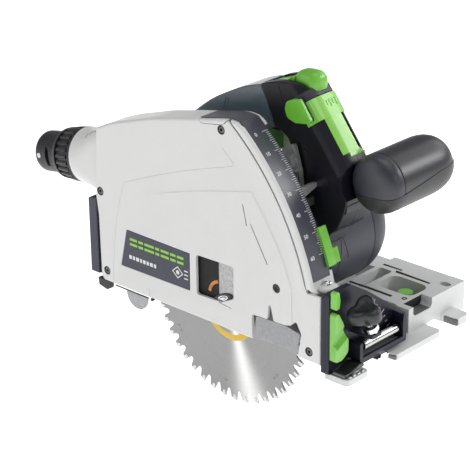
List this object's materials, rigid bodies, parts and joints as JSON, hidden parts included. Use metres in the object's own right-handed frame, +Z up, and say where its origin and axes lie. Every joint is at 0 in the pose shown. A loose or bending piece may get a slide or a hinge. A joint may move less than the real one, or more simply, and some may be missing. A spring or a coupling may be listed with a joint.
{
  "type": "track plunge saw",
  "caption": "Corded track plunge saw, fully plunged: light grey blade guard, bevel cradle, D-handle with trigger, front grip, dust port and slotted base for a guide rail.",
  "frame": {"origin": "point on the sole's plane, in the blade's middle plane, straight below the arbor when fully plunged; the bevel axis passes through it", "axes": "+X feed direction, +Y from the blade across the sole towards the motor's far end, +Z up"},
  "size_m": [0.3739, 0.1786, 0.2874],
  "materials": {
    "base_plate": "cast aluminium, light grey, fine satin",
    "front_bevel_segment": "navy black, satin",
    "rear_bevel_segment": "navy black, satin",
    "clamp_bar": "polished",
    "guard_housing": "light grey satin paint",
    "guard_cover": "light grey satin paint",
    "guard_screw_rear_upper": "zinc plated",
    "guard_screw_rear_lower": "zinc plated",
    "guard_screw_top": "zinc plated",
    "guard_screw_front": "zinc plated",
    "nameplate": "dark blue-grey foil",
    "splinter_window": "clear plastic",
    "depth_scale_strip": "dark anodised with light graduations",
    "rear_edge_strip": "navy grey",
    "front_tilt_bracket": "die cast",
    "rear_tilt_bracket": "die cast",
    "plunge_axle": "ground",
    "plunge_return_spring": "spring wire",
    "dust_spout": "light grey satin paint",
    "gear_case": "die cast, bead blasted",
    "gear_case_lid": "die cast",
    "spindle_bearing": "ground",
    "motor_housing": "slate grey, fine grain",
    "motor_end_cap": "slate grey, fine grain",
    "motor_stator": "lacquered copper windings and steel stack",
    "motor_rear_bearing": "ground",
    "handle_half_right": "near-black soft touch",
    "handle_half_left": "near-black soft touch",
    "handle_nose": "slate blue-grey, satin gloss",
    "power_inlet": "black",
    "front_grip": "dark grey fine-grain soft touch",
    "front_grip_pad": "dark grey fine-grain soft touch",
    "handle_strip": "bright green",
    "control_board": "circuit board",
    "switch_body": "black",
    "saw_blade": "circular brushed",
    "spindle": "ground",
    "drive_gear": "hardened",
    "inner_flange": "turned",
    "outer_flange": "turned",
    "blade_bolt": "blackened",
    "idler_gear": "hardened",
    "pinion_shaft": "ground",
    "rotor_core": "laminated",
    "cooling_fan": "black",
    "dust_port_collar": "black",
    "dust_port_sleeve": "black",
    "depth_stop_slider": "bright green",
    "front_clamp_knob": "black, satin",
    "front_clamp_screw": "bright plated",
    "rear_clamp_knob": "black, satin",
    "undercut_lever": "bright green",
    "bevel_range_tab": "bright green",
    "rail_cam_front": "green",
    "rail_cam_rear": "green",
    "trigger": "green",
    "plunge_release_button": "bright green",
    "side_lever": "bright green",
    "speed_dial": "black"
  },
  "bodies": {
    "base": {"base_plate": "base_plate", "front_bevel_segment": "front_bevel_segment", "rear_bevel_segment": "rear_bevel_segment", "clamp_bar": "clamp_bar"},
    "cradle": {"guard_housing": "guard_housing", "guard_cover": "guard_cover", "guard_screw_rear_upper": "guard_screw_rear_upper", "guard_screw_rear_lower": "guard_screw_rear_lower", "guard_screw_top": "guard_screw_top", "guard_screw_front": "guard_screw_front", "nameplate": "nameplate", "splinter_window": "splinter_window", "depth_scale_strip": "depth_scale_strip", "rear_edge_strip": "rear_edge_strip", "front_tilt_bracket": "front_tilt_bracket", "rear_tilt_bracket": "rear_tilt_bracket", "plunge_axle": "plunge_axle", "plunge_return_spring": "plunge_return_spring", "dust_spout": "dust_spout"},
    "plunge_unit": {"gear_case": "gear_case", "gear_case_lid": "gear_case_lid", "spindle_bearing": "spindle_bearing", "motor_housing": "motor_housing", "motor_end_cap": "motor_end_cap", "motor_stator": "motor_stator", "motor_rear_bearing": "motor_rear_bearing", "handle_half_right": "handle_half_right", "handle_half_left": "handle_half_left", "handle_nose": "handle_nose", "power_inlet": "power_inlet", "front_grip": "front_grip", "front_grip_pad": "front_grip_pad", "handle_strip": "handle_strip", "control_board": "control_board", "switch_body": "switch_body"},
    "blade_spindle": {"saw_blade": "saw_blade", "spindle": "spindle", "drive_gear": "drive_gear", "inner_flange": "inner_flange", "outer_flange": "outer_flange", "blade_bolt": "blade_bolt"},
    "idler": {"idler_gear": "idler_gear"},
    "rotor": {"pinion_shaft": "pinion_shaft", "rotor_core": "rotor_core", "cooling_fan": "cooling_fan"},
    "dust_port": {"dust_port_collar": "dust_port_collar", "dust_port_sleeve": "dust_port_sleeve"},
    "depth_stop": {"depth_stop_slider": "depth_stop_slider"},
    "front_knob": {"front_clamp_knob": "front_clamp_knob", "front_clamp_screw": "front_clamp_screw"},
    "rear_knob": {"rear_clamp_knob": "rear_clamp_knob"},
    "lever": {"undercut_lever": "undercut_lever"},
    "range_tab": {"bevel_range_tab": "bevel_range_tab"},
    "front_cam": {"rail_cam_front": "rail_cam_front"},
    "rear_cam": {"rail_cam_rear": "rail_cam_rear"},
    "trigger_body": {"trigger": "trigger"},
    "release_body": {"plunge_release_button": "plunge_release_button"},
    "side_lever_body": {"side_lever": "side_lever"},
    "dial_body": {"speed_dial": "speed_dial"}
  },
  "joints": [
    {"name": "bevel_tilt", "type": "hinge", "parent": "base", "child": "cradle", "pos_m": [0, 0, 0], "axis": [1, 0, 0], "range_deg": [-1, 47]},
    {"name": "plunge_pivot", "type": "hinge", "parent": "cradle", "child": "plunge_unit", "pos_m": [-0.1198, 0, 0.0167], "axis": [0, -1, 0], "range_deg": [0, 33]},
    {"name": "blade_spin", "type": "hinge", "parent": "plunge_unit", "child": "blade_spindle", "pos_m": [0, 0, 0.022], "axis": [0, 1, 0], "continuous": true},
    {"name": "idler_spin", "type": "hinge", "parent": "plunge_unit", "child": "idler", "pos_m": [0.01786, 0, 0.05498], "axis": [0, 1, 0], "continuous": true},
    {"name": "rotor_spin", "type": "hinge", "parent": "plunge_unit", "child": "rotor", "pos_m": [0.03, 0, 0.0774], "axis": [0, 1, 0], "continuous": true},
    {"name": "dust_port_swivel", "type": "hinge", "parent": "cradle", "child": "dust_port", "pos_m": [-0.171, 0.008, 0.1108], "axis": [-0.9848, 0, -0.1736], "continuous": true},
    {"name": "depth_stop_slide", "type": "hinge", "parent": "cradle", "child": "depth_stop", "pos_m": [-0.1198, 0, 0.0167], "axis": [0, -1, 0], "range_deg": [0, 24]},
    {"name": "front_clamp_turn", "type": "hinge", "parent": "base", "child": "front_knob", "pos_m": [0.1335, 0.0102, 0.0566], "axis": [0, -0.4202, 0.9074], "range_deg": [0, 180]},
    {"name": "rear_clamp_turn", "type": "hinge", "parent": "base", "child": "rear_knob", "pos_m": [-0.1605, 0.048, 0.034], "axis": [-1, 0, 0], "range_deg": [0, 180]},
    {"name": "undercut_release", "type": "slide", "parent": "base", "child": "lever", "axis": [0, 0, -1], "range_m": [0, 0.003], "stiffness_N_per_m": 300, "springref_m": -0.004},
    {"name": "bevel_range_select", "type": "slide", "parent": "base", "child": "range_tab", "axis": [1, 0, 0], "range_m": [0, 0.003]},
    {"name": "front_rail_cam_turn", "type": "hinge", "parent": "base", "child": "front_cam", "pos_m": [0.088, 0.12, 0.0054], "axis": [0, 0, 1], "range_deg": [-30, 30]},
    {"name": "rear_rail_cam_turn", "type": "hinge", "parent": "base", "child": "rear_cam", "pos_m": [-0.112, 0.12, 0.0054], "axis": [0, 0, 1], "range_deg": [-30, 30]},
    {"name": "trigger_pull", "type": "slide", "parent": "plunge_unit", "child": "trigger_body", "axis": [-0.32, 0, 0.9474], "range_m": [0, 0.004], "stiffness_N_per_m": 500, "springref_m": -0.004},
    {"name": "plunge_release_press", "type": "slide", "parent": "plunge_unit", "child": "release_body", "axis": [0, 0, -1], "range_m": [0, 0.003], "stiffness_N_per_m": 500, "springref_m": -0.004},
    {"name": "side_lever_turn", "type": "hinge", "parent": "plunge_unit", "child": "side_lever_body", "pos_m": [0.0476, 0.025, 0.1974], "axis": [0, -1, 0], "range_deg": [0, 25]},
    {"name": "speed_dial_turn", "type": "hinge", "parent": "plunge_unit", "child": "dial_body", "pos_m": [-0.014, 0.061, 0.115], "axis": [0, 1, 0], "range_deg": [0, 270]}
  ],
  "couplings": [
    {"joint": "idler_spin", "follows": "blade_spin", "ratio": -0.92308},
    {"joint": "rotor_spin", "follows": "blade_spin", "ratio": 3}
  ]
}
